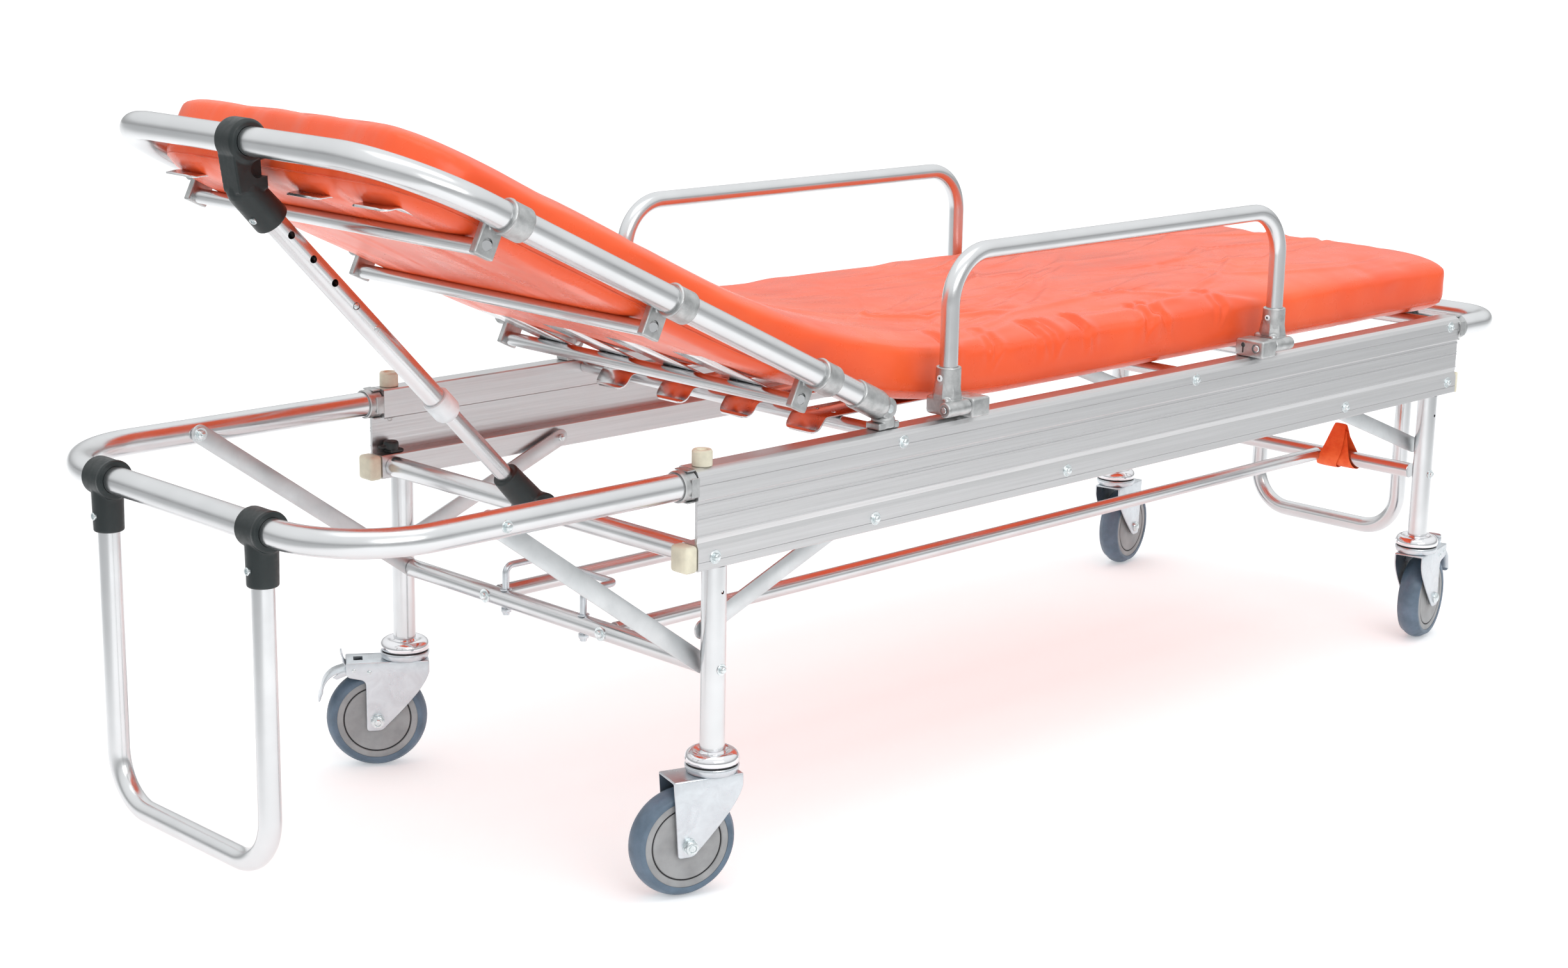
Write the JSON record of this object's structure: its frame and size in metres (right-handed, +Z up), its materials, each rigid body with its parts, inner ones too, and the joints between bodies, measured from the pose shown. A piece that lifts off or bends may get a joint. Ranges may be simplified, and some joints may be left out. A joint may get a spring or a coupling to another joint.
{
  "type": "stretcher trolley",
  "caption": "Ambulance stretcher trolley: aluminium rail frame on casters with a tilting backrest, fold-down guard rails and an orange mattress.",
  "frame": {"origin": "bottom centre of the bounding box, on the floor under the middle of the trolley", "axes": "+X along the length from the head end to the foot end, +Y to the patient's left, +Z up"},
  "size_m": [2.135, 0.6681, 0.8612],
  "materials": {
    "aluminium_tube": "satin drawn and anodised",
    "extruded_aluminium": "satin anodised extrusion",
    "cast_alloy": "tumbled casting",
    "zinc_plate": "bright zinc plated pressing",
    "black_nylon": "moulded, fine grain",
    "white_nylon": "moulded",
    "caster_wheel": "grey rubber tread moulded on a plastic hub",
    "vinyl": "coated fabric, soft sheen, fine grain",
    "webbing": "woven webbing"
  },
  "bodies": {
    "frame": {"side_rail_right": "extruded_aluminium", "side_rail_left": "extruded_aluminium", "head_loop": "aluminium_tube", "foot_loop": "aluminium_tube", "leg_head_right": "aluminium_tube", "leg_head_left": "aluminium_tube", "leg_foot_right": "aluminium_tube", "leg_foot_left": "aluminium_tube", "upper_cross_tube_head": "aluminium_tube", "upper_cross_tube_foot": "aluminium_tube", "lower_cross_tube_head": "aluminium_tube", "lower_cross_tube_foot": "aluminium_tube", "floor_rail_right": "aluminium_tube", "floor_rail_left": "aluminium_tube", "loop_brace_right": "aluminium_tube", "loop_brace_left": "aluminium_tube", "leg_brace_head_right": "aluminium_tube", "leg_brace_head_left": "aluminium_tube", "leg_brace_foot_right": "aluminium_tube", "leg_brace_foot_left": "aluminium_tube", "catch_hoop": "zinc_plate", "deck_slat_frame": "extruded_aluminium", "backrest_hinge_right": "cast_alloy", "backrest_hinge_left": "cast_alloy", "guard_bracket_head_right": "cast_alloy", "guard_bracket_head_left": "cast_alloy", "guard_bracket_foot_right": "cast_alloy", "guard_bracket_foot_left": "cast_alloy", "mattress_seat": "vinyl", "tie_strap": "webbing"},
    "backrest": {"backrest_frame": "aluminium_tube", "back_slat_frame": "extruded_aluminium", "mattress_back": "vinyl"},
    "strut_lower": {"strut_clamp": "black_nylon", "strut_inner_tube": "aluminium_tube"},
    "strut_upper": {"strut_outer_tube": "aluminium_tube", "strut_bush": "white_nylon", "strut_elbow": "black_nylon"},
    "guard_right": {"guard_rail_right": "aluminium_tube", "guard_socket_head_right": "cast_alloy", "guard_socket_foot_right": "cast_alloy"},
    "guard_left": {"guard_rail_left": "aluminium_tube", "guard_socket_head_left": "cast_alloy", "guard_socket_foot_left": "cast_alloy"},
    "support_head": {"support_leg_head": "aluminium_tube", "support_tee_head_right": "black_nylon", "support_tee_head_left": "black_nylon"},
    "support_foot": {"support_leg_foot": "aluminium_tube", "support_tee_foot_right": "black_nylon", "support_tee_foot_left": "black_nylon"},
    "caster_head_right": {"caster_fork_head_right": "zinc_plate"},
    "wheel_head_right": {"wheel_head_right": "caster_wheel"},
    "caster_head_left": {"caster_fork_head_left": "zinc_plate"},
    "wheel_head_left": {"wheel_head_left": "caster_wheel"},
    "pedal_head_left": {"brake_pedal_head_left": "zinc_plate"},
    "caster_foot_right": {"caster_fork_foot_right": "zinc_plate"},
    "wheel_foot_right": {"wheel_foot_right": "caster_wheel"},
    "pedal_foot_right": {"brake_pedal_foot_right": "zinc_plate"},
    "caster_foot_left": {"caster_fork_foot_left": "zinc_plate"},
    "wheel_foot_left": {"wheel_foot_left": "caster_wheel"}
  },
  "joints": [
    {"name": "backrest_hinge", "type": "hinge", "parent": "frame", "child": "backrest", "pos_m": [-0.2967, -0.02, 0.5105], "axis": [0, 1, 0], "range_deg": [-22.5, 3.5]},
    {"name": "strut_swing", "type": "hinge", "parent": "frame", "child": "strut_lower", "pos_m": [-0.583, -0.02, 0.388], "axis": [0, 1, 0], "range_deg": [-29.6, 4.7]},
    {"name": "strut_slide", "type": "slide", "parent": "strut_lower", "child": "strut_upper", "axis": [-0.6917, 0, 0.7221], "range_m": [-0.1065, 0.017]},
    {"name": "guard_fold_right", "type": "hinge", "parent": "frame", "child": "guard_right", "pos_m": [0.129, -0.321, 0.5], "axis": [1, 0, 0], "range_deg": [0, 172]},
    {"name": "guard_fold_left", "type": "hinge", "parent": "frame", "child": "guard_left", "pos_m": [0.129, 0.281, 0.5], "axis": [-1, 0, 0], "range_deg": [0, 172]},
    {"name": "support_head_fold", "type": "hinge", "parent": "frame", "child": "support_head", "pos_m": [-1.046, -0.02, 0.468], "axis": [0, 1, 0], "range_deg": [-60, 80]},
    {"name": "support_foot_fold", "type": "hinge", "parent": "frame", "child": "support_foot", "pos_m": [1.046, -0.02, 0.468], "axis": [0, 1, 0], "range_deg": [-80, 33]},
    {"name": "swivel_head_right", "type": "hinge", "parent": "frame", "child": "caster_head_right", "pos_m": [-0.563, -0.301, 0.15], "axis": [0, 0, 1], "continuous": true},
    {"name": "roll_head_right", "type": "hinge", "parent": "caster_head_right", "child": "wheel_head_right", "pos_m": [-0.59724, -0.28988, 0.0625], "axis": [-0.309, -0.9511, 0], "continuous": true},
    {"name": "swivel_head_left", "type": "hinge", "parent": "frame", "child": "caster_head_left", "pos_m": [-0.563, 0.261, 0.15], "axis": [0, 0, 1], "continuous": true},
    {"name": "roll_head_left", "type": "hinge", "parent": "caster_head_left", "child": "wheel_head_left", "pos_m": [-0.59285, 0.28113, 0.0625], "axis": [-0.5592, -0.829, 0], "continuous": true},
    {"name": "brake_head_left", "type": "hinge", "parent": "caster_head_left", "child": "pedal_head_left", "pos_m": [-0.6144, 0.29567, 0.129], "axis": [-0.5592, -0.829, 0], "range_deg": [0, 8]},
    {"name": "swivel_foot_right", "type": "hinge", "parent": "frame", "child": "caster_foot_right", "pos_m": [0.863, -0.301, 0.15], "axis": [0, 0, 1], "continuous": true},
    {"name": "roll_foot_right", "type": "hinge", "parent": "caster_foot_right", "child": "wheel_foot_right", "pos_m": [0.89821, -0.29352, 0.0625], "axis": [-0.2079, 0.9781, 0], "continuous": true},
    {"name": "brake_foot_right", "type": "hinge", "parent": "caster_foot_right", "child": "pedal_foot_right", "pos_m": [0.92365, -0.28811, 0.129], "axis": [-0.2079, 0.9781, 0], "range_deg": [0, 8]},
    {"name": "swivel_foot_left", "type": "hinge", "parent": "frame", "child": "caster_foot_left", "pos_m": [0.863, 0.261, 0.15], "axis": [0, 0, 1], "continuous": true},
    {"name": "roll_foot_left", "type": "hinge", "parent": "caster_foot_left", "child": "wheel_foot_left", "pos_m": [0.89821, 0.26848, 0.0625], "axis": [-0.2079, 0.9781, 0], "continuous": true}
  ],
  "couplings": [
    {"joint": "strut_swing", "follows": "backrest_hinge", "ratio": 1.3093},
    {"joint": "strut_slide", "follows": "backrest_hinge", "m_per_rad": 0.2692}
  ]
}
